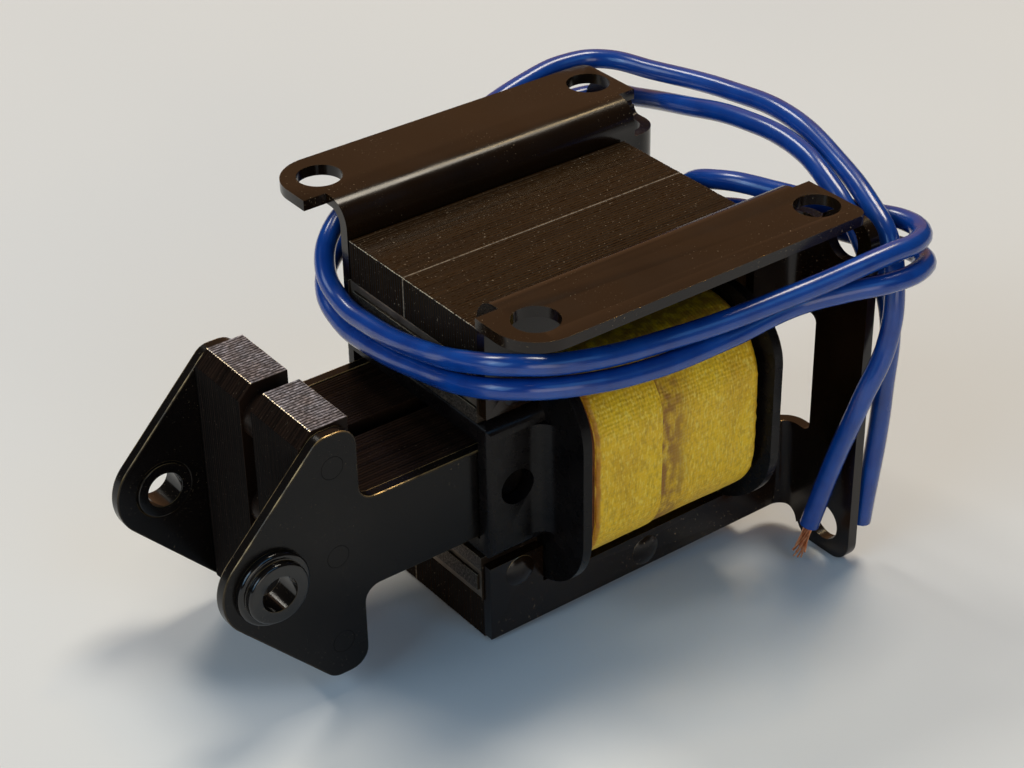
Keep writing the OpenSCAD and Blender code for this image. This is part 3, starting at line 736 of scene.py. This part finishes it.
# Stations along X: place, how far the cloth stands out, and how frayed, soaked and edged it is
stations = [(low[0], -0.34 * MM, 1, 0, 1), (low[0] + 0.35 * MM, -0.02 * MM, 0.7, 0, 0.8)]
for k in range(1, 14):
    stations.append((low[0] + k / 14 * (TAPE_SEAM_X - low[0]), 0.0, 0, 0, 0))
stations += [(TAPE_SEAM_X - 0.1 * MM, 0.0, 0.25, 0, 0), (TAPE_SEAM_X, -TAPE_STEP, 0.25, 1, 0)]
for past, soak in ((0.8, 1), (1.8, 0.9), (2.9, 0.75), (4.0, 0.3), (5.2, 0)):
    stations.append((TAPE_SEAM_X + past * MM, -TAPE_STEP, 0, soak, 0))
start = stations[-1][0]
for k in range(1, 11):
    t = k / 11
    stations.append((start + t * (high[0] - start), -TAPE_STEP * (1 - t), 0, 0, 0))
stations += [(high[0] - 0.35 * MM, -0.05 * MM, 0.8, 0, 0.35), (high[0], -0.36 * MM, 1, 0, 0.5)]
draw = random.Random(11)
bm = bmesh.new()
browned_mark = bm.verts.layers.float.new("browned_mark")
edge = bm.verts.layers.float.new("edge")
frays = [[draw.uniform(-1, 1) for _ in loop] for _ in range(2)]
rings = []
for x, stand, fray, soak, rim in stations:
    sign = 1 if x < TAPE_SEAM_X else -1
    ring = []
    for k, (p, out) in enumerate(loop):
        rough = frays[0 if sign > 0 else 1][k]
        lift = stand + draw.uniform(-0.03, 0.01) * MM
        ragged = x + sign * fray * TAPE_FRAY * (0.5 + 0.5 * rough)
        vert = bm.verts.new(p + out * lift + Vector((ragged, 0, 0)))
        # Browned where the strips overlap, and also along the upper side of the band.
        vert[browned_mark] = max(soak, 0.8 * min(1, max(0, out.z * 3 - 1.6)))
        vert[edge] = rim
        ring.append(vert)
    rings.append(ring)
for x in (high[0] - 0.05 * MM, low[0] + 0.05 * MM):
    rings.append([bm.verts.new(p - out * TAPE_WALL + Vector((x, 0, 0))) for p, out in loop])
for a, b in zip(rings, rings[1:] + rings[:1]):
    for k in range(len(loop)):
        bm.faces.new((a[k], a[(k + 1) % len(loop)], b[(k + 1) % len(loop)], b[k]))
finished("tape_wrap", bm, glass_tape, "frame", "coil_tape", "coil_wrap", smooth=math.radians(50))


# ---- Plunger ----
# Two half packs of T shaped sheets between thicker ear plates, riveted flush. The sheet
# edges on top of the head are worn to grey steel.
HEAD_WANDER = 0.012 * MM
HEAD_SEED = 7
head_varnish = varnished_sheets(
    "head_varnish", (0.007, 0.004, 0.0028), (0.018, 0.0095, 0.006), (0.3, 0.31, 0.36), 0.26,
    gloss=0.07, dust=0.15, relief=0.3,
)
for seed, half in enumerate(("near", "far")):
    head_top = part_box("plunger_pack_" + half)[1][2]
    stacked("plunger_pack_" + half, "plunger_stack_" + half, head_varnish,
            "plunger", seed + HEAD_SEED, HEAD_WANDER,
            bare_above=head_top - 1 * MM)
plate_enamel = enamel(
    "plate_enamel", (0.003, 0.0024, 0.0022), (0.008, 0.0058, 0.0046), 0.17, dust=0.3,
    gloss=0.2, thin=0.7,
)
bushing_enamel = enamel(
    "bushing_enamel", (0.003, 0.0024, 0.0022), (0.008, 0.006, 0.005), 0.08, dust=0.3,
    gloss=0.5, thin=0.2,
)
for half in ("near", "far"):
    eased("ear_plate_" + half, "ear_" + half, 0.2 * MM, plate_enamel,
          "bracket_enamel", "plunger", rims=6 * MM)
    eased("ear_bushing_" + half, "bushing_" + half, 0.12 * MM, bushing_enamel,
          "rivet_steel", "plunger")
for node in ("plunger_rivets", "pack_spacers"):
    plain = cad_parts[node].data
    plain.materials.clear()
    plain.materials.append(plate_enamel if node == "plunger_rivets" else head_varnish)


# ---- Floor and light ----
# A pale sheet under the part, tipped as the part stands: on the front bottom edge of
# the stack and on the two lower rear ears. The main lamp stands high to the rear right, a
# window behind; weaker blue ones fill the shadows and warm ones show in the enamel.
FLOOR_REACH = 5
FLOOR_GAP = 0.1 * MM
LAMP_AIM = Vector((0, 0, -0.03))
LAMP_DISTANCE = 1.6
front_bottom = Vector((-24.2, 0, -51.7)) * MM
rear_bottom = Vector((27.2, 0, -55.02)) * MM
run = (rear_bottom - front_bottom).normalized()
up = Vector((0, -1, 0)).cross(run).normalized()
floor_mesh = bpy.data.meshes.new("floor")
middle = (front_bottom + rear_bottom) / 2 - up * FLOOR_GAP
sideways = Vector((0, 1, 0))
corners = [
    middle + run * a * FLOOR_REACH + sideways * b * FLOOR_REACH
    for a, b in ((-1, -1), (1, -1), (1, 1), (-1, 1))
]
floor_mesh.from_pydata(corners, [], [(0, 1, 2, 3)])
floor_paper, _, links, shader = new_material("floor_paper")
links.new(
    ramp_of(
        floor_paper, noise_of(floor_paper, 6, 2),
        [(0.3, (0.72, 0.73, 0.74)), (0.7, (0.77, 0.77, 0.76))],
    ),
    shader.inputs["Base Color"],
)
shader.inputs["Roughness"].default_value = 0.8
floor_mesh.materials.append(floor_paper)
floor = bpy.data.objects.new("floor", floor_mesh)
bpy.context.scene.collection.objects.link(floor)

world = bpy.data.worlds.new("room")
bpy.context.scene.world = world
world.use_nodes = True
background = world.node_tree.nodes["Background"]
background.inputs["Color"].default_value = (1.0, 0.9, 0.8, 1)
background.inputs["Strength"].default_value = 0.04


def softbox(name, towards, size, power, colour):
    """Square studio lamp that looks at the part from a direction."""
    data = bpy.data.lights.new(name, "AREA")
    data.size = size
    data.energy = power
    data.color = colour
    lamp = bpy.data.objects.new(name, data)
    lamp.location = LAMP_AIM + Vector(towards).normalized() * LAMP_DISTANCE
    lamp.rotation_euler = (LAMP_AIM - lamp.location).to_track_quat("-Z", "Y").to_euler()
    bpy.context.scene.collection.objects.link(lamp)


softbox("key", (0.36, 0.12, 0.925), 0.5, 11.6, (1, 0.92, 0.78))
softbox("key_core", (0.545, 0.2, 0.81), 0.13, 1.3, (1, 0.72, 0.36))
softbox("window", (-0.106, 0.58, 0.81), 0.38, 6.8, (1, 0.95, 0.85))
softbox("warm_wall", (0.545, 0.697, 0.42), 1.5, 2.6, (1, 0.48, 0.2))
softbox("left", (-0.78, 0.2, 0.588), 0.7, 4, (0.82, 0.92, 1))
softbox("blue_left", (-0.85, -0.1, 0.5), 0.9, 6.5, (0.34, 0.66, 1))
softbox("front", (0.089, -0.726, 0.682), 0.8, 2.6, (0.2, 0.55, 1))
softbox("fill", (-0.3, -0.9, 0.2), 1.0, 5.8, (1, 0.92, 0.8))

low, high = cad_box
